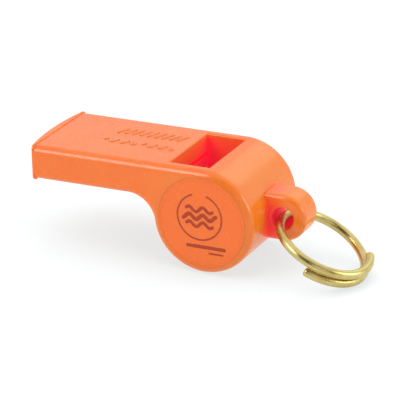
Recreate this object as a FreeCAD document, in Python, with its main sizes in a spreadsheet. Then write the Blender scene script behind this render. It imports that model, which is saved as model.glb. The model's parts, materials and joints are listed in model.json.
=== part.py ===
import FreeCAD, Part
import math
import os
import Sketcher

# Pea whistle: a one-piece moulded body, a side plug, a cork pea and a split ring.
#
# The whistle lies level, mouthpiece towards -X and split ring towards +X, plug
# side towards -Y, sound window up. Each body's own origin is on the barrel's
# axis at mid-width, except the ring's, which is on the axis of its own helix.
# The placements at the end put the origin of the whole part at the middle of
# the bottom of its box.

# Driving dimensions, in millimetres and degrees.
SIZES = {
    # moulded body
    "barrel_radius": 12.0,
    "body_width": 25.4,
    "mouth_reach": 42.85,  # barrel axis to the middle of the curved mouth end
    "mouth_bulge": 1.25,  # how far the middle of the mouth end stands past its corners
    "mouth_height": 7.9,
    "neck_radius": 6.3,  # hollow curve between barrel and mouthpiece
    "edge_round": 1.8,
    "bite_lip_length": 1.7,
    "bite_lip_top": 0.16,
    "bite_lip_under": 0.22,
    "bite_lip_corner": 1.1,
    "mouth_ease": 0.3,
    # chamber, windway and window
    "chamber_radius": 10.0,
    "windway_width": 19.2,
    "roof_thickness": 1.6,  # windway roof at the mouth
    "windway_height": 4.6,  # at the mouth
    "slit_top_drop": 4.2,  # top face down to the windway's exit slit
    "slit_height": 1.0,
    "window_front": 8.8,  # barrel axis forward to the window's front wall
    "window_length": 9.8,
    "window_depth": 7.3,
    "window_ease": 0.45,
    # side plug
    "plug_radius": 10.45,
    "plug_gap": 0.03,
    "plug_thickness": 3.1,
    "plug_line_radius": 9.84,
    "plug_line_width": 0.16,
    "plug_line_depth": 0.06,
    # lug
    "lug_offset": 15.3,  # barrel axis back to the axis of the lug's hole
    "lug_radius": 5.35,
    "lug_thickness": 7.4,
    "lug_round": 1.1,
    "hole_radius": 2.5,
    "hole_ease": 0.5,
    # cork pea
    "pea_diameter": 12.0,
    "pea_gap": 0.2,
    # split ring
    "wire_diameter": 2.1,
    "ring_radius": 10.65,  # to the middle of the wire
    "ring_pitch": 2.33,
    "ring_turns": 1.326,
    "turns_to_lug": 0.735,  # from the ring's lower end to where it passes the lug
    "ring_droop": 29.5,
    "wire_forward": 0.85,  # axis of the lug's hole forward to the wire in it
    "wire_drop": 0.75,
    "wire_aside": 0.6,  # the ring hangs this far towards the plug side
}

doc = FreeCAD.newDocument("pea_whistle")
sheet = doc.addObject("Spreadsheet::Sheet", "sizes")
for row, (name, size) in enumerate(SIZES.items(), start=1):
    sheet.set(f"A{row}", name)
    sheet.set(f"B{row}", str(size))
    sheet.setAlias(f"B{row}", name)
doc.recompute()


def size(name):
    """The present value of a driving dimension."""
    return float(getattr(sheet, name))


# --- helpers for sketches and features ---------------------------------------

ORIGIN = -1  # sketch geometry index of the origin point and the sketch's X axis
START, END, CENTRE = 1, 2, 3


def point(x, y):
    return FreeCAD.Vector(x, y, 0)


def new_body(name):
    body = doc.addObject("PartDesign::Body", name)
    body.Label = name
    return body


def new_sketch(body, role, name, lift=None):
    """A sketch on one of the body's own origin planes, lifted along its normal."""
    plane = next(f for f in body.Origin.OriginFeatures if f.Role == role)
    sketch = body.newObject("Sketcher::SketchObject", name)
    sketch.AttachmentSupport = (plane, "")
    sketch.MapMode = "FlatFace"
    if lift:
        sketch.setExpression("AttachmentOffset.Base.z", lift)
    doc.recompute()
    return sketch


def dimension(sketch, formula, kind, *refs):
    """A driving constraint whose value follows a formula of spreadsheet cells."""
    value = FreeCAD.Units.Quantity(sketch.evalExpression(formula)).Value
    index = sketch.addConstraint(Sketcher.Constraint(kind, *refs, value))
    sketch.setExpression(f"Constraints[{index}]", formula)


def add_lines(sketch, corners):
    """Straight edges round a closed outline, joined at their ends."""
    count = len(corners)
    for n, corner in enumerate(corners):
        following = corners[(n + 1) % count]
        sketch.addGeometry(Part.LineSegment(point(*corner), point(*following)))
    for n in range(count):
        sketch.addConstraint(Sketcher.Constraint("Coincident", n, END, (n + 1) % count, START))


def add_circle(sketch, radius_formula, radius, x_formula=None, x=0.0):
    """A circle on the sketch's X axis."""
    index = sketch.addGeometry(Part.Circle(point(x, 0), FreeCAD.Vector(0, 0, 1), radius))
    dimension(sketch, radius_formula, "Radius", index)
    if x_formula:
        sketch.addConstraint(Sketcher.Constraint("PointOnObject", index, CENTRE, ORIGIN))
        dimension(sketch, x_formula, "DistanceX", ORIGIN, START, index, CENTRE)
    else:
        sketch.addConstraint(Sketcher.Constraint("Coincident", index, CENTRE, ORIGIN, START))
    return index


def finish_feature(body, feature, grows):
    """Recompute, and make sure that the feature really added or removed material."""
    before = body.Shape.Volume if not body.Shape.isNull() else 0.0
    doc.recompute()
    if not feature.isValid():
        raise RuntimeError(f"{feature.Name} failed")
    change = feature.Shape.Volume - before
    if (change > 0) != grows:
        raise RuntimeError(f"{feature.Name} changed the volume by {change:.2f}")
    return feature


def pad(body, sketch, name, length, side="One side", backwards=False):
    feature = body.newObject("PartDesign::Pad", name)
    feature.Profile = sketch
    feature.SideType = side
    feature.Reversed = backwards
    feature.setExpression("Length", length)
    return finish_feature(body, feature, grows=True)


def pocket(body, sketch, name, length, side="One side", backwards=False):
    feature = body.newObject("PartDesign::Pocket", name)
    feature.Profile = sketch
    feature.SideType = side
    feature.Reversed = backwards
    feature.setExpression("Length", length)
    return finish_feature(body, feature, grows=False)


def fillet(body, name, radius, chosen):
    """Round the edges of the body's last feature that are chosen."""
    base = body.Tip
    names = [f"Edge{n}" for n, edge in enumerate(base.Shape.Edges, start=1) if chosen(edge)]
    if not names:
        raise RuntimeError(f"{name} finds no edge")
    feature = body.newObject("PartDesign::Fillet", name)
    feature.Base = (base, names)
    feature.setExpression("Radius", radius)
    doc.recompute()
    if not feature.isValid() or not feature.Shape.isValid():
        raise RuntimeError(f"{name} failed on {len(names)} edges")
    return feature


CLOSE = 1e-3  # edges this near to a plane or circle count as on it


def near(a, b):
    return abs(a - b) < CLOSE


def edge_box(edge):
    return edge.optimalBoundingBox(False, False)


# --- whistle body --------------------------------------------------------------


def draw_side_profile(body):
    """Barrel, hollow neck and mouthpiece, seen from the side."""
    radius = size("barrel_radius")
    neck = size("neck_radius")
    reach = size("mouth_reach")
    underside = radius - size("mouth_height")
    neck_y = underside - neck
    neck_x = -math.sqrt((radius + neck) ** 2 - neck_y**2)
    tangent = math.atan2(neck_y, neck_x)
    up = FreeCAD.Vector(0, 0, 1)

    sketch = new_sketch(body, "XZ_Plane", "side_profile")
    top, barrel, hollow, under, mouth = range(5)
    sketch.addGeometry(Part.LineSegment(point(-reach, radius), point(0, radius)))
    barrel_circle = Part.Circle(point(0, 0), up, radius)
    sketch.addGeometry(Part.ArcOfCircle(barrel_circle, tangent, math.pi / 2))
    neck_circle = Part.Circle(point(neck_x, neck_y), up, neck)
    sketch.addGeometry(Part.ArcOfCircle(neck_circle, tangent + math.pi, math.pi / 2))
    sketch.addGeometry(Part.LineSegment(point(neck_x, underside), point(-reach, underside)))
    sketch.addGeometry(Part.LineSegment(point(-reach, underside), point(-reach, radius)))

    constrain = sketch.addConstraint
    constrain(Sketcher.Constraint("Coincident", barrel, CENTRE, ORIGIN, START))
    constrain(Sketcher.Constraint("Tangent", top, END, barrel, END))
    constrain(Sketcher.Constraint("Tangent", barrel, START, hollow, START))
    constrain(Sketcher.Constraint("Tangent", hollow, END, under, START))
    constrain(Sketcher.Constraint("Coincident", under, END, mouth, START))
    constrain(Sketcher.Constraint("Coincident", mouth, END, top, START))
    constrain(Sketcher.Constraint("Horizontal", top))
    constrain(Sketcher.Constraint("Horizontal", under))
    constrain(Sketcher.Constraint("Vertical", mouth))
    dimension(sketch, "sizes.barrel_radius", "Radius", barrel)
    dimension(sketch, "sizes.neck_radius", "Radius", hollow)
    dimension(sketch, "sizes.mouth_height", "DistanceY", mouth, START, mouth, END)
    dimension(sketch, "sizes.mouth_reach", "DistanceX", top, START, ORIGIN, START)
    return sketch


def draw_bite_lip(body):
    """Cross-section of the mouthpiece at the raised lip, with rounded corners."""
    half = size("body_width") / 2
    top = size("barrel_radius") + size("bite_lip_top")
    bottom = size("barrel_radius") - size("mouth_height") - size("bite_lip_under")
    corner = size("bite_lip_corner")
    up = FreeCAD.Vector(0, 0, 1)
    lift = "-(sizes.mouth_reach - sizes.bite_lip_length)"
    sketch = new_sketch(body, "YZ_Plane", "bite_lip_section", lift)

    # the straight edges run anticlockwise: bottom, right, top, left
    straight = [
        ((-half + corner, bottom), (half - corner, bottom)),
        ((half, bottom + corner), (half, top - corner)),
        ((half - corner, top), (-half + corner, top)),
        ((-half, top - corner), (-half, bottom + corner)),
    ]
    corners = [
        (half - corner, bottom + corner),
        (half - corner, top - corner),
        (-half + corner, top - corner),
        (-half + corner, bottom + corner),
    ]
    for first, last in straight:
        sketch.addGeometry(Part.LineSegment(point(*first), point(*last)))
    for n, centre in enumerate(corners):
        turn = (n - 1) * math.pi / 2
        circle = Part.Circle(point(*centre), up, corner)
        sketch.addGeometry(Part.ArcOfCircle(circle, turn, turn + math.pi / 2))
    for n in range(4):
        arc = n + 4
        sketch.addConstraint(Sketcher.Constraint("Tangent", n, END, arc, START))
        sketch.addConstraint(Sketcher.Constraint("Tangent", arc, END, (n + 1) % 4, START))
    below, right, above, left = range(4)
    for n in (below, above):
        sketch.addConstraint(Sketcher.Constraint("Horizontal", n))
    for n in (right, left):
        sketch.addConstraint(Sketcher.Constraint("Vertical", n))
    for arc in (5, 6, 7):
        sketch.addConstraint(Sketcher.Constraint("Equal", 4, arc))
    dimension(sketch, "sizes.bite_lip_corner", "Radius", 4)
    dimension(sketch, "sizes.body_width / 2", "DistanceX", ORIGIN, START, right, START)
    dimension(sketch, "sizes.body_width", "DistanceX", left, START, right, START)
    dimension(sketch, "sizes.barrel_radius + sizes.bite_lip_top", "DistanceY", ORIGIN, START, above, START)
    low = "sizes.barrel_radius - sizes.mouth_height - sizes.bite_lip_under"
    dimension(sketch, low, "DistanceY", ORIGIN, START, below, START)
    return sketch


def draw_mouth_trim(body):
    """Plan view of what is cut from the mouth end to leave its bulging curve."""
    half = size("body_width") / 2
    reach = size("mouth_reach")
    bulge = size("mouth_bulge")
    curve = (half**2 + bulge**2) / (2 * bulge)
    spread = math.asin(half / curve)
    margin = 1.0
    outer = -reach - margin
    corner = -reach + bulge
    sketch = new_sketch(body, "XY_Plane", "mouth_trim")
    circle = Part.Circle(point(curve - reach, 0), FreeCAD.Vector(0, 0, 1), curve)
    arc = sketch.addGeometry(Part.ArcOfCircle(circle, math.pi - spread, math.pi + spread))
    trim_corners = [(corner, -half), (outer, -half), (outer, half), (corner, half)]
    for first, last in zip(trim_corners, trim_corners[1:]):
        sketch.addGeometry(Part.LineSegment(point(*first), point(*last)))
    below, side, above = 1, 2, 3
    sketch.addConstraint(Sketcher.Constraint("Coincident", arc, END, below, START))
    sketch.addConstraint(Sketcher.Constraint("Coincident", below, END, side, START))
    sketch.addConstraint(Sketcher.Constraint("Coincident", side, END, above, START))
    sketch.addConstraint(Sketcher.Constraint("Coincident", above, END, arc, START))
    sketch.addConstraint(Sketcher.Constraint("Horizontal", below))
    sketch.addConstraint(Sketcher.Constraint("Horizontal", above))
    sketch.addConstraint(Sketcher.Constraint("Vertical", side))
    sketch.addConstraint(Sketcher.Constraint("PointOnObject", arc, CENTRE, ORIGIN))
    radius = "(sizes.body_width * sizes.body_width / 4 + sizes.mouth_bulge * sizes.mouth_bulge)"
    dimension(sketch, radius + " / (2 * sizes.mouth_bulge)", "Radius", arc)
    dimension(sketch, "sizes.body_width", "DistanceY", side, START, side, END)
    dimension(sketch, "sizes.mouth_reach - sizes.mouth_bulge", "DistanceX", arc, START, ORIGIN, START)
    dimension(sketch, f"{margin} + sizes.mouth_bulge", "DistanceX", side, START, arc, START)
    return sketch


def draw_lug(body):
    """The lug: straight sides from inside the barrel wall to a round end."""
    reach = size("lug_offset")
    radius = size("lug_radius")
    root = (size("barrel_radius") + size("chamber_radius")) / 2
    sketch = new_sketch(body, "XZ_Plane", "lug_outline")
    circle = Part.Circle(point(reach, 0), FreeCAD.Vector(0, 0, 1), radius)
    round_end = sketch.addGeometry(Part.ArcOfCircle(circle, -math.pi / 2, math.pi / 2))
    top = sketch.addGeometry(Part.LineSegment(point(reach, radius), point(root, radius)))
    inner = sketch.addGeometry(Part.LineSegment(point(root, radius), point(root, -radius)))
    under = sketch.addGeometry(Part.LineSegment(point(root, -radius), point(reach, -radius)))
    sketch.addConstraint(Sketcher.Constraint("Tangent", round_end, END, top, START))
    sketch.addConstraint(Sketcher.Constraint("Coincident", top, END, inner, START))
    sketch.addConstraint(Sketcher.Constraint("Coincident", inner, END, under, START))
    sketch.addConstraint(Sketcher.Constraint("Tangent", under, END, round_end, START))
    sketch.addConstraint(Sketcher.Constraint("Horizontal", top))
    sketch.addConstraint(Sketcher.Constraint("Horizontal", under))
    sketch.addConstraint(Sketcher.Constraint("Vertical", inner))
    sketch.addConstraint(Sketcher.Constraint("PointOnObject", round_end, CENTRE, ORIGIN))
    dimension(sketch, "sizes.lug_radius", "Radius", round_end)
    dimension(sketch, "sizes.lug_offset", "DistanceX", ORIGIN, START, round_end, CENTRE)
    wall_middle = "(sizes.barrel_radius + sizes.chamber_radius) / 2"
    dimension(sketch, wall_middle, "DistanceX", ORIGIN, START, inner, START)
    return sketch


def draw_windway(body):
    """Side view of the windway, which narrows from the mouth to its exit slit."""
    mouth_x = -size("mouth_reach")
    exit_x = -size("window_front")
    roof = size("barrel_radius") - size("roof_thickness")
    floor = roof - size("windway_height")
    slit_top = size("barrel_radius") - size("slit_top_drop")
    slit_floor = slit_top - size("slit_height")
    sketch = new_sketch(body, "XZ_Plane", "windway_outline")
    add_lines(sketch, [(mouth_x, floor), (exit_x, slit_floor), (exit_x, slit_top), (mouth_x, roof)])
    below, slit, above, mouth = range(4)
    sketch.addConstraint(Sketcher.Constraint("Vertical", slit))
    sketch.addConstraint(Sketcher.Constraint("Vertical", mouth))
    dimension(sketch, "sizes.mouth_reach", "DistanceX", below, START, ORIGIN, START)
    dimension(sketch, "sizes.window_front", "DistanceX", slit, START, ORIGIN, START)
    dimension(sketch, "sizes.slit_height", "DistanceY", slit, START, slit, END)
    dimension(sketch, "sizes.windway_height", "DistanceY", mouth, END, mouth, START)
    roof_height = "sizes.barrel_radius - sizes.roof_thickness"
    dimension(sketch, roof_height, "DistanceY", ORIGIN, START, mouth, START)
    slit_height = "sizes.barrel_radius - sizes.slit_top_drop"
    dimension(sketch, slit_height, "DistanceY", ORIGIN, START, above, START)
    return sketch


def draw_window(body):
    """Plan view of the sound window, on the level of the top face."""
    front = -size("window_front")
    back = front + size("window_length")
    half = size("windway_width") / 2
    sketch = new_sketch(body, "XY_Plane", "window_outline", "sizes.barrel_radius")
    add_lines(sketch, [(front, -half), (back, -half), (back, half), (front, half)])
    near_side, rear, far_side, forward = range(4)
    for n in (near_side, far_side):
        sketch.addConstraint(Sketcher.Constraint("Horizontal", n))
    for n in (rear, forward):
        sketch.addConstraint(Sketcher.Constraint("Vertical", n))
    dimension(sketch, "sizes.window_front", "DistanceX", near_side, START, ORIGIN, START)
    dimension(sketch, "sizes.window_length", "DistanceX", near_side, START, near_side, END)
    dimension(sketch, "sizes.windway_width", "DistanceY", rear, START, rear, END)
    dimension(sketch, "sizes.windway_width / 2", "DistanceY", rear, START, ORIGIN, START)
    return sketch


def make_whistle_body():
    body = new_body("whistle_body")
    half_width = size("body_width") / 2
    top = size("barrel_radius")
    mouth_x = -size("mouth_reach")
    half_lug = size("lug_thickness") / 2
    lug_x = size("lug_offset")

    pad(body, draw_side_profile(body), "block", "sizes.body_width", side="Symmetric")

    def on_side_outline(edge):
        box = edge_box(edge)
        on_side = near(abs(box.YMin), half_width) and near(box.YMin, box.YMax)
        return on_side and not near(box.XMax, mouth_x)

    fillet(body, "side_rounds", "sizes.edge_round", on_side_outline)
    pad(body, draw_bite_lip(body), "bite_lip", "sizes.bite_lip_length", backwards=True)
    pad(body, draw_lug(body), "lug", "sizes.lug_thickness", side="Symmetric")

    def on_lug_outline(edge):
        box = edge_box(edge)
        return near(abs(box.YMin), half_lug) and near(box.YMin, box.YMax) and box.XMax > lug_x - CLOSE

    fillet(body, "lug_rounds", "sizes.lug_round", on_lug_outline)

    trim = draw_mouth_trim(body)
    pocket(body, trim, "mouth_curve", "4 * sizes.barrel_radius", side="Symmetric")
    chamber = new_sketch(body, "XZ_Plane", "chamber_circle")
    add_circle(chamber, "sizes.chamber_radius", size("chamber_radius"))
    pocket(body, chamber, "chamber", "sizes.windway_width", side="Symmetric")
    recess = new_sketch(body, "XZ_Plane", "plug_circle", "sizes.body_width / 2")
    add_circle(recess, "sizes.plug_radius", size("plug_radius"))
    pocket(body, recess, "plug_recess", "sizes.plug_thickness")
    pocket(body, draw_windway(body), "windway", "sizes.windway_width", side="Symmetric")
    pocket(body, draw_window(body), "window", "sizes.window_depth")

    def on_window_top(edge):
        """The window's front edge and sides, but not its sharp rear edge."""
        box = edge_box(edge)
        rear = size("window_length") - size("window_front")
        drop = top - math.sqrt(top**2 - rear**2)  # the barrel has started to curve down there
        on_top = box.ZMin > top - drop - CLOSE
        in_length = box.XMin > -size("window_front") - CLOSE and not near(box.XMin, rear)
        in_width = max(abs(box.YMin), abs(box.YMax)) < size("windway_width") / 2 + CLOSE
        return on_top and in_length and in_width

    fillet(body, "window_edges", "sizes.window_ease", on_window_top)

    eye = new_sketch(body, "XZ_Plane", "lug_eye")
    add_circle(eye, "sizes.hole_radius", size("hole_radius"), "sizes.lug_offset", lug_x)
    pocket(body, eye, "lug_hole", "2 * sizes.lug_thickness", side="Symmetric")

    def on_hole_rim(edge):
        box = edge_box(edge)
        on_face = near(abs(box.YMin), half_lug) and near(box.YMin, box.YMax)
        return on_face and near(box.XLength, 2 * size("hole_radius"))

    fillet(body, "hole_rims", "sizes.hole_ease", on_hole_rim)

    def on_mouth_end(edge):
        return edge_box(edge).XMax < mouth_x + size("mouth_bulge") + CLOSE

    fillet(body, "mouth_rounds", "sizes.mouth_ease", on_mouth_end)
    return body


# --- side plug -------------------------------------------------------------------


def make_side_plug():
    """A disc that fills the recess, with a fine line moulded near its rim."""
    body = new_body("side_plug")
    face = "sizes.body_width / 2"
    disc_circle = new_sketch(body, "XZ_Plane", "disc_circle", face)
    add_circle(disc_circle, "sizes.plug_radius - sizes.plug_gap", size("plug_radius"))
    pad(body, disc_circle, "disc", "sizes.plug_thickness", backwards=True)
    line = new_sketch(body, "XZ_Plane", "line_circles", face)
    radius = size("plug_line_radius")
    width = size("plug_line_width")
    add_circle(line, "sizes.plug_line_radius", radius)
    add_circle(line, "sizes.plug_line_radius - sizes.plug_line_width", radius - width)
    pocket(body, line, "rim_line", "sizes.plug_line_depth")
    return body


# --- cork pea --------------------------------------------------------------------


def make_cork_pea():
    pea = doc.addObject("Part::Sphere", "cork_pea")
    pea.Label = "cork_pea"
    pea.setExpression("Radius", "sizes.pea_diameter / 2")
    doc.recompute()
    return pea


# --- split ring ------------------------------------------------------------------


def make_split_ring():
    """Round wire wound up its own Z axis, its lower end on its own X axis."""
    body = new_body("split_ring")
    wire = new_sketch(body, "XZ_Plane", "wire_section")
    radius = size("wire_diameter") / 2
    add_circle(wire, "sizes.wire_diameter / 2", radius, "sizes.ring_radius", size("ring_radius"))
    coil = body.newObject("PartDesign::AdditiveHelix", "coil")
    coil.Profile = wire
    coil.ReferenceAxis = (wire, ["V_Axis"])
    coil.Mode = "pitch-turns-angle"
    coil.Angle = 0
    coil.setExpression("Pitch", "sizes.ring_pitch")
    coil.setExpression("Turns", "sizes.ring_turns")
    finish_feature(body, coil, grows=True)
    return body


# --- the assembly ----------------------------------------------------------------


def place_ring(ring):
    """The wire passes low and forward in the lug's hole, and the ring droops backwards."""
    droop = math.radians(size("ring_droop"))
    outward = FreeCAD.Vector(math.cos(droop), 0, -math.sin(droop))
    coil_axis = FreeCAD.Vector(math.sin(droop), 0, math.cos(droop))
    wire_x = size("lug_offset") - size("wire_forward")
    in_hole = FreeCAD.Vector(wire_x, -size("wire_aside"), -size("wire_drop"))
    base = in_hole + outward * size("ring_radius")
    base = base - coil_axis * (size("ring_pitch") * size("turns_to_lug"))
    start_angle = 180 - 360 * size("turns_to_lug")
    turned = FreeCAD.Rotation(FreeCAD.Vector(0, 0, 1), start_angle)
    tilt = FreeCAD.Rotation(FreeCAD.Vector(0, 1, 0), size("ring_droop"))
    ring.Placement = FreeCAD.Placement(base, tilt * turned)


def place_pea(pea):
    """The pea lies at the bottom of the chamber, at mid-width."""
    orbit = size("chamber_radius") - size("pea_diameter") / 2 - size("pea_gap")
    pea.Placement.Base = FreeCAD.Vector(0, 0, -orbit)


def set_on_ground(pieces):
    """Move every piece so that the origin is at the middle of the whole box's bottom."""
    boxes = [piece.Shape.optimalBoundingBox(False, False) for piece in pieces]
    middle = (min(b.XMin for b in boxes) + max(b.XMax for b in boxes)) / 2
    bottom = min(b.ZMin for b in boxes)
    for piece in pieces:
        piece.Placement.Base = piece.Placement.Base - FreeCAD.Vector(middle, 0, bottom)
    print(f"barrel axis at x {-middle:.3f}, z {-bottom:.3f}")


pieces = [make_whistle_body(), make_side_plug(), make_cork_pea(), make_split_ring()]
place_pea(pieces[2])
place_ring(pieces[3])
doc.recompute()
set_on_ground(pieces)
doc.recompute()

for item in doc.Objects:
    if "Invalid" in item.State or "Error" in item.State:
        raise RuntimeError(f"{item.Name} is not valid: {item.State}")
for piece in pieces:
    if piece.Shape.isNull() or not piece.Shape.isValid():
        raise RuntimeError(f"{piece.Label} has no valid shape")

os.makedirs("parts", exist_ok=True)
for piece in pieces:
    piece.Shape.exportStep(os.path.join("parts", f"{piece.Label}.step"))
    box = piece.Shape.optimalBoundingBox(False, False)
    print(f"{piece.Label}: {piece.Shape.Volume:.1f} mm3, x {box.XMin:.2f}..{box.XMax:.2f}, "
          f"y {box.YMin:.2f}..{box.YMax:.2f}, z {box.ZMin:.2f}..{box.ZMax:.2f}")
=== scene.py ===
import json
import math

import bmesh
import bpy
from mathutils import Matrix, Vector, noise


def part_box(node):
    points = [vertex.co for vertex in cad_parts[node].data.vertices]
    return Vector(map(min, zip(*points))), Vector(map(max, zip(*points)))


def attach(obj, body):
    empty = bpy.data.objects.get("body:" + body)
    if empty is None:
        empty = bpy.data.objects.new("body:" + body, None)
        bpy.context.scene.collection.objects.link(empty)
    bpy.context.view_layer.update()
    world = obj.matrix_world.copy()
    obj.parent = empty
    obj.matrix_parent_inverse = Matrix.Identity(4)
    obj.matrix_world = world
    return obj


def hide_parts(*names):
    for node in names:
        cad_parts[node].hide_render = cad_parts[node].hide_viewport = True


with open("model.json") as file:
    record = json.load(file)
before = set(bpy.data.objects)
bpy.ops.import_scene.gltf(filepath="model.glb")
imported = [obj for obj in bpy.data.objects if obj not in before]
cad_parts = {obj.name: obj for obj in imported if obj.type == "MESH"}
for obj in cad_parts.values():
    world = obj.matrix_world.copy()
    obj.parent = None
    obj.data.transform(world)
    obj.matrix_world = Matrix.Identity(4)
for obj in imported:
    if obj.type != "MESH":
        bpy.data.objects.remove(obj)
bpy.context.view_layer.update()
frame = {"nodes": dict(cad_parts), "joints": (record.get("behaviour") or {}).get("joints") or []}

# Pea whistle. Lengths are in metres, in the part's own frame: mouthpiece towards
# -X, split ring towards +X, plug side towards -Y, up is +Z.
MM = 0.001
joints = {joint["name"]: joint for joint in frame["joints"]}
BARREL = Vector(joints["pea_roll"]["pos_m"])
LUG_EYE = Vector(joints["ring_swing"]["pos_m"])
body_low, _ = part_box("whistle_body")
plug_low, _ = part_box("side_plug")
pea_low, pea_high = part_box("cork_pea")
BARREL_RADIUS = BARREL.z - body_low.z
TOP_FACE = BARREL.z + BARREL_RADIUS
PLUG_FACE = plug_low.y
X_AXIS, Y_AXIS, Z_AXIS = Vector((1, 0, 0)), Vector((0, 1, 0)), Vector((0, 0, 1))


# --- node helpers ----------------------------------------------------------------


class Nodes:
    """Short calls for building one material's node tree."""

    def __init__(self, name):
        self.material = bpy.data.materials.new(name)
        self.material.use_nodes = True
        self.tree = self.material.node_tree
        self.shader = self.tree.nodes["Principled BSDF"]

    def add(self, kind, **values):
        """A new node. Each value sets the input of that name, or else the property."""
        node = self.tree.nodes.new(kind)
        for name, value in values.items():
            if name in node.inputs:
                node.inputs[name].default_value = value
            else:
                setattr(node, name, value)
        return node

    def feed(self, value, socket):
        """Give a socket a plain value, or link a node's output to it."""
        if isinstance(value, bpy.types.NodeSocket):
            self.tree.links.new(value, socket)
        elif socket.type == "RGBA":
            socket.default_value = (*value, 1)
        else:
            socket.default_value = value

    def shade(self, name, value):
        """Feed one of the shader's own inputs."""
        self.feed(value, self.shader.inputs[name])

    def place(self, kind="Object", scale=(1, 1, 1)):
        """Texture coordinates of one kind, times scale."""
        source = self.add("ShaderNodeTexCoord")
        mapping = self.add("ShaderNodeMapping")
        mapping.inputs["Scale"].default_value = scale
        self.feed(source.outputs[kind], mapping.inputs["Vector"])
        return mapping.outputs["Vector"]

    def millimetres(self, stretch=(1, 1, 1)):
        """Where a point of the piece lies, in millimetres, times stretch."""
        return self.place(scale=tuple(share / MM for share in stretch))

    def noise(self, vector, scale, detail=2.0, rough=0.5, distort=0.0):
        settings = {"Scale": scale, "Detail": detail, "Roughness": rough, "Distortion": distort}
        node = self.add("ShaderNodeTexNoise", **settings)
        self.feed(vector, node.inputs["Vector"])
        return node.outputs["Fac"]

    def ramp(self, value, stops):
        """stops: (position, colour or grey) pairs."""
        node = self.add("ShaderNodeValToRGB")
        elements = node.color_ramp.elements
        while len(elements) < len(stops):
            elements.new(0.5)
        for element, (position, colour) in zip(elements, stops):
            element.position = position
            element.color = (colour, colour, colour, 1) if isinstance(colour, float) else (*colour, 1)
        self.feed(value, node.inputs["Fac"])
        return node.outputs["Color"]

    def remap(self, value, low, high, to_low, to_high, shape="LINEAR"):
        """low to high becomes to_low to to_high, and nothing passes those."""
        node = self.add("ShaderNodeMapRange", interpolation_type=shape)
        names = ("From Min", "From Max", "To Min", "To Max")
        for name, number in zip(names, (low, high, to_low, to_high)):
            node.inputs[name].default_value = number
        self.feed(value, node.inputs["Value"])
        return node.outputs["Result"]

    def math(self, operation, first, second):
        node = self.add("ShaderNodeMath", operation=operation)
        for value, socket in zip((first, second), node.inputs):
            self.feed(value, socket)
        return node.outputs["Value"]

    def mix(self, share, first, second):
        """The first colour, with a share of the second."""
        node = self.add("ShaderNodeMix", data_type="RGBA")
        self.feed(share, node.inputs["Factor"])
        colours = [socket for socket in node.inputs if socket.type == "RGBA"]
        for value, socket in zip((first, second), colours):
            self.feed(value, socket)
        return next(socket for socket in node.outputs if socket.type == "RGBA")

    def vector(self, operation, first, second=(0, 0, 0), output="Vector"):
        node = self.add("ShaderNodeVectorMath", operation=operation)
        self.feed(first, node.inputs[0])
        self.feed(second, node.inputs[1])
        return node.outputs[output]

    def inside_box(self, where, box, soft):
        """1 inside a box, falling to 0 at its sides over soft millimetres."""
        low, high = box
        middle, half = (low + high) / 2, (high - low) / 2
        away = self.vector("ABSOLUTE", self.vector("SUBTRACT", where, middle))
        past = self.vector("SUBTRACT", away, half)
        parts = self.add("ShaderNodeSeparateXYZ")
        self.feed(past, parts.inputs["Vector"])
        furthest = self.math("MAXIMUM", parts.outputs["X"], parts.outputs["Y"])
        furthest = self.math("MAXIMUM", furthest, parts.outputs["Z"])
        return self.remap(furthest, -soft, 0.0, 1.0, 0.0)

    def near(self, where, centre, spread, full, none):
        """1 up to the distance full from a point, 0 past none, in units of spread.

        spread gives the unit along each axis, and 0 leaves that axis out.
        """
        away = self.vector("SUBTRACT", where, centre)
        shares = tuple(1 / unit if unit else 0.0 for unit in spread)
        distance = self.vector("LENGTH", self.vector("MULTIPLY", away, shares), output="Value")
        return self.remap(distance, full, none, 1.0, 0.0, "SMOOTHSTEP")

    def openness(self, reach):
        """1 on open faces, falling to 0 deep inside hollows of the piece's own shape."""
        node = self.add("ShaderNodeAmbientOcclusion", samples=8, only_local=True, Distance=reach)
        return node.outputs["AO"]

    def bump(self, height, strength, distance, normal=None):
        node = self.add("ShaderNodeBump", Strength=strength, Distance=distance)
        self.feed(height, node.inputs["Height"])
        if normal is not None:
            self.feed(normal, node.inputs["Normal"])
        return node.outputs["Normal"]


# --- materials -------------------------------------------------------------------

# Colours, in linear RGB.
ORANGE = (0.91, 0.176, 0.010)
ORANGE_DEEP = (0.90, 0.164, 0.008)
ORANGE_PALE = (0.92, 0.196, 0.014)
# A paler orange painted on the barrel's back, where light falls on it.
ORANGE_PAINTED_LIT_BACK = (0.90, 0.245, 0.012)
PLUG_ORANGE = (0.945, 0.156, 0.006)
# Painted light in the plastic's hollows: a red for painted shade there, and the two colours of a
# painted glow.
PAINTED_HOLLOW_RED = (0.97, 0.045, 0.030)
RED_GLOW = (1.0, 0.01, 0.07)
ORANGE_GLOW = (1.0, 0.32, 0.06)
INK = (0.38, 0.030, 0.012)
BRASS_DARK = (0.52, 0.39, 0.13)
BRASS = (0.62, 0.49, 0.19)
BRASS_BRIGHT = (0.70, 0.58, 0.27)
CORK_DARK = (0.17, 0.075, 0.03)
CORK_BROWN = (0.46, 0.26, 0.12)
CORK_PALE = (0.66, 0.43, 0.23)
CORK_SEAM = (0.30, 0.15, 0.07)
FLOOR_GLOW = (0.972, 1, 1)  # a little short of red, which the whistle throws back

TINT_SHARE = 0.85
# How much of the painted lighter back is mixed in.
PAINTED_LIT_BACK_SHARE = 0.5
FLOW_STRETCH = (0.18, 0.9, 0.9)  # the flow marks are drawn out along the mouthpiece
PLASTIC_IOR = 1.55
LIGHT_DEPTH = 1.6 * MM  # how far light travels inside the plastic
RED_TRAVELS_FURTHER = (1.0, 0.20, 0.10)

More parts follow.
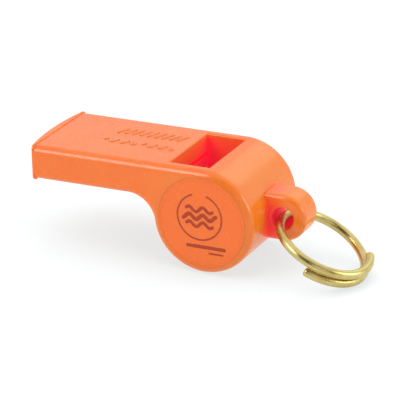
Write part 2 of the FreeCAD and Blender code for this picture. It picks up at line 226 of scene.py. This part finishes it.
# How far the painted shade and glow look for hollows and creases, and how strong the painted glow is
# in each.
HOLLOW_REACH = 16 * MM
CREASE_REACH = 1.2 * MM
HOLLOW_GLOW = [(0.02, 0.16), (0.20, 0.31), (0.45, 0.37), (0.62, 0.28), (0.85, 0.06)]  # by openness
EYE_GLOW = 0.27
ROOT_GLOW = 0.15
CREASE_GLOW = 0.10


def box_across(ahead, behind, half_width, bottom, top):
    """Corners of a box at mid-width, in millimetres; its ends count from the barrel's axis."""
    axis = BARREL.x / MM
    return Vector((axis + ahead, -half_width, bottom)), Vector((axis + behind, half_width, top))


# The window, the windway's slit, the barrel's back and the lug's hole, in millimetres. The hollows
# get painted red shade and glow, and the back a painted lighter tint.
WELL = box_across(-9.8, 2.0, 10.6, BARREL.z / MM, TOP_FACE / MM - 0.1)
SLIT = box_across(-22.0, -8.0, 10.6, TOP_FACE / MM - 6.0, TOP_FACE / MM - 3.6)
BACK = box_across(3.0, 50.0, 13.2, -20.0, 50.0)
EYE = LUG_EYE / MM
EYE_EDGES = (2.4, 3.2)  # inside the hole's wall, and past its rounded rim
# Centre of the painted red shade and painted glow at the lug's root: just behind the barrel's back,
# and a little below the hole.
LUG_ROOT = Vector(((BARREL.x + BARREL_RADIUS) / MM + 0.7, 0, EYE.z - 1.2))
ROOT_SPREAD = (4.3, 6.5, 7.6)
ROOT_EDGES = (0.55, 1.2)  # in units of the spread


def plastic_colour(n, where, tint):
    """Clouds and flow marks in the moulding, under a tint, or else with a painted lighter back where
    light falls on the barrel.
    """
    clouds = n.noise(where, scale=0.09, detail=3)
    flow = n.noise(n.millimetres(FLOW_STRETCH), scale=0.5, detail=4, distort=0.6)
    colour = n.ramp(clouds, [(0.3, ORANGE_DEEP), (0.52, ORANGE), (0.75, ORANGE_PALE)])
    colour = n.mix(n.remap(flow, 0.35, 0.75, 0.0, 0.22), colour, ORANGE_PALE)
    if tint:
        return n.mix(TINT_SHARE, colour, tint)
    # Painted light: the barrel's back is painted paler, where light falls on it.
    back = n.inside_box(where, BACK, 4.0)
    return n.mix(n.math("MULTIPLY", back, PAINTED_LIT_BACK_SHARE), colour, ORANGE_PAINTED_LIT_BACK)


def paint_light_in_hollows(n, where, colour):
    """Painted light, standing in for light that has travelled through the plastic: painted red shade
    in the hollows and at the lug's root, and a faint painted glow there and in creases.

    Returns the colour, and 1 in the window, slit and hole, falling to 0 outside.
    """
    well = n.math("MAXIMUM", n.inside_box(where, WELL, 1.0), n.inside_box(where, SLIT, 0.3))
    eye = n.near(where, EYE, (1, 0, 1), *EYE_EDGES)
    root = n.near(where, LUG_ROOT, ROOT_SPREAD, *ROOT_EDGES)
    hollow = n.math("MAXIMUM", well, eye)
    open_to_air = n.openness(HOLLOW_REACH)

    # Painted red shade: deeper in the hollows and at the lug's root.
    deep = n.math("MULTIPLY", n.remap(open_to_air, 0.35, 0.8, 0.95, 0.25), hollow)
    deep = n.math("MAXIMUM", deep, n.math("MULTIPLY", root, 0.95))

    # Painted glow (emission) in the hollows, along creases and at the lug's root, red in hollows and
    # orange elsewhere.
    glow = n.ramp(open_to_air, HOLLOW_GLOW)
    glow = n.math("MULTIPLY", glow, n.math("ADD", well, n.math("MULTIPLY", eye, EYE_GLOW)))
    crease = n.remap(n.openness(CREASE_REACH), 0.45, 0.85, CREASE_GLOW, 0.0)
    glow = n.math("ADD", glow, n.math("ADD", crease, n.math("MULTIPLY", root, ROOT_GLOW)))
    n.shade("Emission Strength", glow)
    n.shade("Emission Color", n.mix(n.math("MAXIMUM", hollow, root), ORANGE_GLOW, RED_GLOW))
    return n.mix(deep, colour, PAINTED_HOLLOW_RED), hollow


def orange_plastic(name="orange_plastic_look", thin=False, print_wear=False, tint=None):
    """Glossy moulded plastic that lets red light through, with a rubbed skin, and painted red shade
    and a painted glow in its hollows.

    thin is for low marks on it, which neither scatter nor get the painted shade and glow. print_wear
    lays ink over it, worn into specks.
    """
    n = Nodes(name)
    where = n.millimetres()
    colour = plastic_colour(n, where, tint)
    smudge = n.noise(where, scale=0.22, detail=5, rough=0.62)
    rough = n.remap(smudge, 0.3, 0.7, 0.20, 0.30)
    if not thin:
        colour, hollow = paint_light_in_hollows(n, where, colour)
        rough = n.math("ADD", rough, n.math("MULTIPLY", hollow, 0.25))
    if print_wear:
        specks = n.noise(where, scale=2.4, detail=5, rough=0.7)
        colour = n.mix(n.remap(specks, 0.42, 0.72, 0.95, 0.72), colour, INK)
        n.shade("Specular IOR Level", 0.25)
    peel = n.noise(where, scale=0.7, detail=2)
    grain = n.noise(where, scale=9.0, detail=2)
    skin = n.bump(peel, strength=0.10, distance=0.03 * MM)
    skin = n.bump(grain, strength=0.08, distance=0.004 * MM, normal=skin)
    n.shade("Base Color", colour)
    n.shade("Roughness", rough)
    n.shade("Normal", skin)
    n.shade("IOR", PLASTIC_IOR)
    n.shade("Subsurface Weight", 0.0 if thin else 0.3)
    n.shade("Subsurface Radius", RED_TRAVELS_FURTHER)
    n.shade("Subsurface Scale", LIGHT_DEPTH)
    return n.material


def brass():
    """Drawn brass wire: patches of tarnish, and fine lines along its length."""
    n = Nodes("brass_look")
    drawn = n.place("UV", scale=(1.2, 60, 1))
    patches = n.noise(n.millimetres(), scale=0.35, detail=4, rough=0.6)
    lines = n.noise(drawn, scale=3.0, detail=3)
    n.shade("Base Color", n.ramp(patches, [(0.3, BRASS_DARK), (0.55, BRASS), (0.8, BRASS_BRIGHT)]))
    n.shade("Metallic", 1.0)
    n.shade("Roughness", n.remap(n.math("ADD", patches, lines), 0.7, 1.35, 0.22, 0.34))
    n.shade("Normal", n.bump(lines, strength=0.05, distance=0.01 * MM))
    return n.material


def cork():
    """Mottled cork, darker towards the seams between its cells, and pitted."""
    n = Nodes("cork_look")
    where = n.millimetres()
    cells = n.add("ShaderNodeTexVoronoi", Scale=1.6, feature="F1")
    n.feed(where, cells.inputs["Vector"])
    from_middle = cells.outputs["Distance"]
    mottling = n.noise(where, scale=0.8, detail=6, rough=0.7)
    colour = n.ramp(mottling, [(0.28, CORK_DARK), (0.45, CORK_BROWN), (0.7, CORK_PALE)])
    colour = n.mix(n.remap(from_middle, 0.1, 0.75, 0.0, 0.35), colour, CORK_SEAM)
    n.shade("Base Color", colour)
    n.shade("Roughness", n.remap(mottling, 0.3, 0.7, 0.7, 0.92))
    pitting = n.math("ADD", mottling, from_middle)
    n.shade("Normal", n.bump(pitting, strength=0.5, distance=0.12 * MM))
    return n.material


def floor_paper():
    """White light-table surface, with a painted shadow where the whistle stands over it."""
    n = Nodes("floor_paper")
    tone = n.ramp(n.noise(n.place(), scale=40.0, detail=3), [(0.3, 0.08), (0.7, 0.10)])
    open_to_air = n.add("ShaderNodeAmbientOcclusion", samples=8, Distance=0.06).outputs["AO"]
    n.shade("Base Color", tone)
    # Painted shadow: the surface's own glow dims where the whistle stands over it.
    n.shade("Emission Strength", n.remap(open_to_air, 0.35, 0.88, 0.73, 0.96))
    n.shade("Emission Color", FLOOR_GLOW)
    n.shade("Roughness", 0.9)
    n.shade("Specular IOR Level", 0.1)
    return n.material


def wear(obj, material):
    """The object shows this material on all of its faces."""
    if obj.material_slots:
        for slot in obj.material_slots:
            slot.material = material
    else:
        obj.data.materials.append(material)


def new_object(name, mesh):
    """A smooth-shaded object in the scene, from a finished bmesh."""
    data = bpy.data.meshes.new(name)
    mesh.to_mesh(data)
    mesh.free()
    for polygon in data.polygons:
        polygon.use_smooth = True
    obj = bpy.data.objects.new(name, data)
    bpy.context.scene.collection.objects.link(obj)
    return obj


# --- split ring --------------------------------------------------------------------

# The same helix as the CAD ring's.
WIRE_RADIUS = 1.05 * MM
RING_RADIUS = 10.65 * MM
RING_PITCH = 2.33 * MM
RING_TURNS = 1.326
TURNS_TO_LUG = 0.735
RING_DROOP = math.radians(29.5)
WIRE_IN_EYE = Vector((-0.85, -0.6, -0.75)) * MM

END_ROUND = 0.55 * MM
END_STEPS = 8
WIRE_STEPS = 420
WIRE_SIDES = 48
UV_LENGTH = 66  # texture units along the whole wire


def ring_frame():
    """The helix's centre at its lower end, and its three directions."""
    outward = Vector((math.cos(RING_DROOP), 0, -math.sin(RING_DROOP)))
    coil_axis = Vector((math.sin(RING_DROOP), 0, math.cos(RING_DROOP)))
    centre = LUG_EYE + WIRE_IN_EYE + outward * RING_RADIUS - coil_axis * RING_PITCH * TURNS_TO_LUG
    return centre, outward, Y_AXIS, coil_axis


def ring_point(turn):
    """The middle of the wire, turn turns from its lower end, and its two directions."""
    centre, outward, across, coil_axis = ring_frame()
    angle = 2 * math.pi * (0.5 - TURNS_TO_LUG + turn)
    radial = outward * math.cos(angle) + across * math.sin(angle)
    return centre + radial * RING_RADIUS + coil_axis * RING_PITCH * turn, radial, coil_axis


def wire_stations(length):
    """Pairs of a distance along the wire and how much thinner it is there."""
    rounded = []
    for step in range(END_STEPS + 1):
        angle = math.pi / 2 * step / END_STEPS
        rounded.append((END_ROUND * (1 - math.cos(angle)), END_ROUND * (1 - math.sin(angle))))
    straight = length - 2 * END_ROUND
    middle = [(END_ROUND + straight * k / WIRE_STEPS, 0.0) for k in range(1, WIRE_STEPS)]
    return rounded + middle + [(length - along, thinner) for along, thinner in reversed(rounded)]


def make_split_ring():
    """Round wire swept along the helix, its two ends rounded over."""
    length = 2 * math.pi * RING_RADIUS * RING_TURNS
    stations = wire_stations(length)
    mesh = bmesh.new()
    uv = mesh.loops.layers.uv.new("UVMap")
    loops = []
    for along, thinner in stations:
        middle, radial, coil_axis = ring_point(along / length * RING_TURNS)
        loop = []
        for k in range(WIRE_SIDES):
            angle = 2 * math.pi * k / WIRE_SIDES
            out = radial * math.cos(angle) + coil_axis * math.sin(angle)
            loop.append(mesh.verts.new(middle + out * (WIRE_RADIUS - thinner)))
        loops.append(loop)
    for row, (first, second) in enumerate(zip(loops, loops[1:])):
        start, end = stations[row][0], stations[row + 1][0]
        for k in range(WIRE_SIDES):
            following = (k + 1) % WIRE_SIDES
            face = mesh.faces.new((first[k], first[following], second[following], second[k]))
            corners = [(start, k), (start, k + 1), (end, k + 1), (end, k)]
            for corner, (along, side) in zip(face.loops, corners):
                corner[uv].uv = (along / length * UV_LENGTH, side / WIRE_SIDES)
    mesh.faces.new(loops[0])
    mesh.faces.new(reversed(loops[-1]))
    bmesh.ops.recalc_face_normals(mesh, faces=mesh.faces)
    return new_object("split_ring_wire", mesh)


# --- cork pea ----------------------------------------------------------------------

# Each kind of unevenness has a number of features across and a share of the radius.
PEA_BASE = 0.985
LUMPS, LUMP_DEPTH = 2.3, 0.012
PORES, PORE_DEPTH, PORE_START = 9.0, 0.10, 0.28
PORE_SHIFT = Vector((4, 1, 7))
GRAIN, GRAIN_DEPTH = 30.0, 0.005


def make_cork_pea():
    """A ball cut from cork: faintly out of round, with pits and pores."""
    centre = (pea_low + pea_high) / 2
    radius = (pea_high.z - pea_low.z) / 2
    mesh = bmesh.new()
    bmesh.ops.create_icosphere(mesh, subdivisions=6, radius=1.0)
    for vert in mesh.verts:
        out = vert.co.normalized()
        lumps = noise.noise(out * LUMPS) * LUMP_DEPTH
        pores = max(0.0, noise.noise(out * PORES + PORE_SHIFT) - PORE_START) * PORE_DEPTH
        grain = noise.noise(out * GRAIN) * GRAIN_DEPTH
        vert.co = centre + out * radius * (PEA_BASE + lumps - pores + grain)
    return new_object("cork_ball", mesh)


# --- raised marks and print -----------------------------------------------------------

RIDGE_SIDES = 12
RIDGE_CAP = 6
RIDGE_TIP = 0.15  # how far the first step is from the very tip, in steps
RIDGE_SUNK = 0.12  # share of a ridge's height that is below the face it lies on
RIDGE_FALL = 1.2  # above 1, the height falls later than the width towards an end
WAVE_STEPS = 60


def ridge_stations(line, half_width):
    """Each place along a line, its direction and its share of the full width.

    The share falls at both ends, which makes them round.
    """
    spots = [Vector(spot) for spot in line]
    narrowing = [math.pi / 2 * (step + RIDGE_TIP) / RIDGE_CAP for step in range(RIDGE_CAP)]
    start = (spots[1] - spots[0]).normalized()
    end = (spots[-1] - spots[-2]).normalized()
    stations = []
    for turn in narrowing:
        stations.append((spots[0] - start * half_width * math.cos(turn), start, math.sin(turn)))
    for k, spot in enumerate(spots):
        before, after = spots[max(k - 1, 0)], spots[min(k + 1, len(spots) - 1)]
        stations.append((spot, (after - before).normalized(), 1.0))
    for turn in reversed(narrowing):
        stations.append((spots[-1] + end * half_width * math.cos(turn), end, math.sin(turn)))
    return stations


def raised_line(mesh, plane, line, half_width, height):
    """A low, round-topped ridge along a line on a plane, with round ends.

    plane is (origin, right, up, out). line is a list of (right, up) pairs.
    """
    origin, right, up, out = plane
    loops = []
    for spot, ahead, share in ridge_stations(line, half_width):
        aside = Vector((-ahead.y, ahead.x))
        loop = []
        for side in range(RIDGE_SIDES + 1):
            turn = math.pi * side / RIDGE_SIDES
            at = spot + aside * half_width * share * math.cos(turn)
            rise = height * (math.sin(turn) * min(1.0, share * RIDGE_FALL) - RIDGE_SUNK)
            loop.append(mesh.verts.new(origin + right * at.x + up * at.y + out * rise))
        loops.append(loop)
    for first, second in zip(loops, loops[1:]):
        for side in range(RIDGE_SIDES):
            mesh.faces.new((first[side], first[side + 1], second[side + 1], second[side]))
        mesh.faces.new((first[-1], first[0], second[0], second[-1]))
    mesh.faces.new(loops[0])
    mesh.faces.new(reversed(loops[-1]))


def arc(centre, radius, first, last, steps):
    """Points along an arc; angles in degrees."""
    turns = [math.radians(first + (last - first) * k / steps) for k in range(steps + 1)]
    return [(centre[0] + radius * math.cos(t), centre[1] + radius * math.sin(t)) for t in turns]


# Low relief on the top face, in millimetres from the barrel's axis and from mid-width.
BAR_COUNT = 9
FIRST_BAR = -27.0
BAR_SPACING = 1.85
BAR_LEAN = 0.6
BAR_SPAN = (2.8, 5.6)
BAR_HALF_WIDTH, BAR_HEIGHT = 0.36, 0.26
WAVE_SPANS = ((-28.4, -20.6), (-19.0, -11.4))
WAVE_ASIDE = -2.3
WAVE_SWING = 0.95
WAVE_RATE = 2.4  # radians to the millimetre
WAVE_HALF_WIDTH, WAVE_HEIGHT = 0.30, 0.24


def make_grip_marks():
    """Two rows of low relief on the top face: slanted bars, and two wavy lines."""
    plane = (Vector((BARREL.x, BARREL.y, TOP_FACE)), X_AXIS, Y_AXIS, Z_AXIS)
    mesh = bmesh.new()
    for k in range(BAR_COUNT):
        x = (FIRST_BAR + BAR_SPACING * k) * MM
        foot, head = (x - BAR_LEAN * MM, BAR_SPAN[0] * MM), (x + BAR_LEAN * MM, BAR_SPAN[1] * MM)
        raised_line(mesh, plane, [foot, head], BAR_HALF_WIDTH * MM, BAR_HEIGHT * MM)
    for first, last in WAVE_SPANS:
        line = []
        for k in range(WAVE_STEPS + 1):
            x = first + (last - first) * k / WAVE_STEPS
            line.append((x * MM, (WAVE_ASIDE + WAVE_SWING * math.sin((x - first) * WAVE_RATE)) * MM))
        raised_line(mesh, plane, line, WAVE_HALF_WIDTH * MM, WAVE_HEIGHT * MM)
    bmesh.ops.recalc_face_normals(mesh, faces=mesh.faces)
    return new_object("grip_marks", mesh)


# Print on the plug, in millimetres from the barrel's axis.
COAT = 0.012
RIM_CENTRE = (-0.4, 1.3)
RIM_RADIUS = 5.3
RIM_FIRST, RIM_LAST, RIM_STEPS = -250, 70, 90
RIM_HALF_WIDTH = 0.20
PRINT_WAVES = ((3.1, 0.38), (3.9, 0.46), (3.1, 0.38))  # half its length and width, from the top
PRINT_WAVE_SPACING = 1.75
PRINT_WAVE_SWING = 0.55
PRINT_WAVE_RATE = 1.9  # radians to the millimetre
PRINT_BARS = ((-3.4, 5.4, -5.6, 0.42), (1.8, 5.0, -6.9, 0.22))  # its ends, level and half width


def make_plug_print():
    """Three waves in a thin open circle, over two bars, in a thin coat of ink."""
    plane = (Vector((BARREL.x, PLUG_FACE, BARREL.z)), X_AXIS, Z_AXIS, -Y_AXIS)
    coat = COAT * MM
    mesh = bmesh.new()
    middle = (RIM_CENTRE[0] * MM, RIM_CENTRE[1] * MM)
    rim = arc(middle, RIM_RADIUS * MM, RIM_FIRST, RIM_LAST, RIM_STEPS)
    raised_line(mesh, plane, rim, RIM_HALF_WIDTH * MM, coat)
    for row, (reach, half_width) in enumerate(PRINT_WAVES):
        line = []
        for k in range(WAVE_STEPS + 1):
            x = reach * (2 * k / WAVE_STEPS - 1)
            rise = PRINT_WAVE_SPACING * (1 - row) + PRINT_WAVE_SWING * math.sin(PRINT_WAVE_RATE * x)
            line.append((middle[0] + x * MM, middle[1] + rise * MM))
        raised_line(mesh, plane, line, half_width * MM, coat)
    for first, last, level, half_width in PRINT_BARS:
        bar = [(first * MM, level * MM), (last * MM, level * MM)]
        raised_line(mesh, plane, bar, half_width * MM, coat)
    bmesh.ops.recalc_face_normals(mesh, faces=mesh.faces)
    return new_object("plug_print", mesh)


# --- the pieces --------------------------------------------------------------------

wear(frame["nodes"]["whistle_body"], orange_plastic())
wear(frame["nodes"]["side_plug"], orange_plastic("side_plug_look", tint=PLUG_ORANGE))

ring = make_split_ring()
wear(ring, brass())
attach(ring, "ring")
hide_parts("split_ring")

marks = make_grip_marks()
wear(marks, orange_plastic("grip_marks_look", thin=True))
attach(marks, "whistle")

ink = make_plug_print()
wear(ink, orange_plastic("plug_print_look", thin=True, print_wear=True, tint=PLUG_ORANGE))
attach(ink, "whistle")

pea = make_cork_pea()
wear(pea, cork())
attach(pea, "pea")
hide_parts("cork_pea")


# --- floor, lights and camera --------------------------------------------------------

FLOOR_REACH = 3.0
RING_LOOKS = 400  # how many places of the ring are compared for the lowest


def make_floor():
    """The level that the barrel and the ring's lowest turn both rest on."""
    turns = (k / RING_LOOKS * RING_TURNS for k in range(RING_LOOKS + 1))
    low_turn = min((ring_point(turn)[0] for turn in turns), key=lambda p: p.z)
    reach = Vector((low_turn.x - BARREL.x, low_turn.z - BARREL.z))
    lean = math.asin((WIRE_RADIUS - BARREL_RADIUS) / reach.length) - math.atan2(reach.y, reach.x)
    up = Vector((math.sin(lean), 0, math.cos(lean)))
    touch = BARREL - up * BARREL_RADIUS
    mesh = bmesh.new()
    bmesh.ops.create_grid(mesh, x_segments=2, y_segments=2, size=FLOOR_REACH)
    floor = new_object("floor", mesh)
    floor.matrix_world = Matrix.Translation(touch) @ Matrix.Rotation(lean, 4, "Y")
    wear(floor, floor_paper())


WHITE = (1, 1, 1)
PALE_GREEN = (0.68, 1.0, 0.80)

# Each light's name, place from the barrel's axis, size, power in watts and tint.
LIGHTS = [
    ("overhead", (0.05, 0.05, 0.6), (0.4, 0.4), 0.12, PALE_GREEN),
    ("right", (0.56, 0.16, 0.22), (0.3, 0.3), 1.05, PALE_GREEN),
    ("front_right", (0.43, -0.47, 0.23), (0.42, 0.36), 0.5, WHITE),
    ("front_left", (-0.36, -0.54, 0.50), (0.26, 0.44), 2.15, WHITE),
    ("back_right", (0.06, 0.50, 0.31), (0.28, 0.14), 0.11, PALE_GREEN),
]


def make_light(name, place, size, power, tint):
    """A soft rectangular light that points at the barrel."""
    data = bpy.data.lights.new(name, "AREA")
    data.shape = "RECTANGLE"
    data.size, data.size_y = size
    data.energy = power
    data.color = tint
    light = bpy.data.objects.new(name, data)
    light.location = BARREL + Vector(place)
    light.rotation_euler = (BARREL - light.location).to_track_quat("-Z", "Y").to_euler()
    bpy.context.scene.collection.objects.link(light)


CAMERA_AZIMUTH = math.radians(25.95)
CAMERA_ELEVATION = math.radians(21.49)
CAMERA_ROLL = math.radians(-1.34)
CAMERA_DISTANCE = 0.6011
CAMERA_LENS = 244.3  # millimetres, as Blender counts it
SENSOR_WIDTH = 36
NEAREST, FURTHEST = 0.01, 20
AIM_ASIDE = -5.71 * MM
AIM_UP = 0.72 * MM


def camera_back():
    """From the whistle towards the camera."""
    level = math.cos(CAMERA_ELEVATION)
    x, y = math.sin(CAMERA_AZIMUTH) * level, -math.cos(CAMERA_AZIMUTH) * level
    return Vector((x, y, math.sin(CAMERA_ELEVATION)))


WORLD_LEVEL = 0.98
DIM_LEVEL = 0.06
DIM_EDGES = (0.62, 0.82)  # cosines of the angle from the middle of the dim patch


def make_world():
    """A white studio all round, with one dim patch where the photographer stands."""
    world = bpy.data.worlds.new("studio")
    world.use_nodes = True
    tree = world.node_tree
    background = tree.nodes["Background"]
    background.inputs["Color"].default_value = (1, 1, 1, 1)
    where = tree.nodes.new("ShaderNodeTexCoord")
    dot = tree.nodes.new("ShaderNodeVectorMath")
    dot.operation = "DOT_PRODUCT"
    dot.inputs[1].default_value = camera_back()
    level = tree.nodes.new("ShaderNodeMapRange")
    level.interpolation_type = "SMOOTHSTEP"
    names = ("From Min", "From Max", "To Min", "To Max")
    for name, number in zip(names, (*DIM_EDGES, WORLD_LEVEL, DIM_LEVEL)):
        level.inputs[name].default_value = number
    tree.links.new(where.outputs["Generated"], dot.inputs[0])
    tree.links.new(dot.outputs["Value"], level.inputs["Value"])
    tree.links.new(level.outputs["Result"], background.inputs["Strength"])
    bpy.context.scene.world = world


def make_camera():
    """A long lens to the right of the plug side, looking down at the whistle."""
    back = camera_back()
    right = Vector((math.cos(CAMERA_AZIMUTH), math.sin(CAMERA_AZIMUTH), 0))
    up = back.cross(right)
    right, up = (
        right * math.cos(CAMERA_ROLL) + up * math.sin(CAMERA_ROLL),
        up * math.cos(CAMERA_ROLL) - right * math.sin(CAMERA_ROLL),
    )
    data = bpy.data.cameras.new("camera")
    data.lens = CAMERA_LENS
    data.sensor_width = SENSOR_WIDTH
    data.clip_start, data.clip_end = NEAREST, FURTHEST
    camera = bpy.data.objects.new("camera", data)
    place = BARREL + right * AIM_ASIDE + up * AIM_UP + back * CAMERA_DISTANCE
    camera.matrix_world = Matrix.Translation(place) @ Matrix((right, up, back)).transposed().to_4x4()
    bpy.context.scene.collection.objects.link(camera)
    bpy.context.scene.camera = camera


make_floor()
make_world()
for light in LIGHTS:
    make_light(*light)
make_camera()
bpy.context.scene.view_settings.view_transform = "Standard"
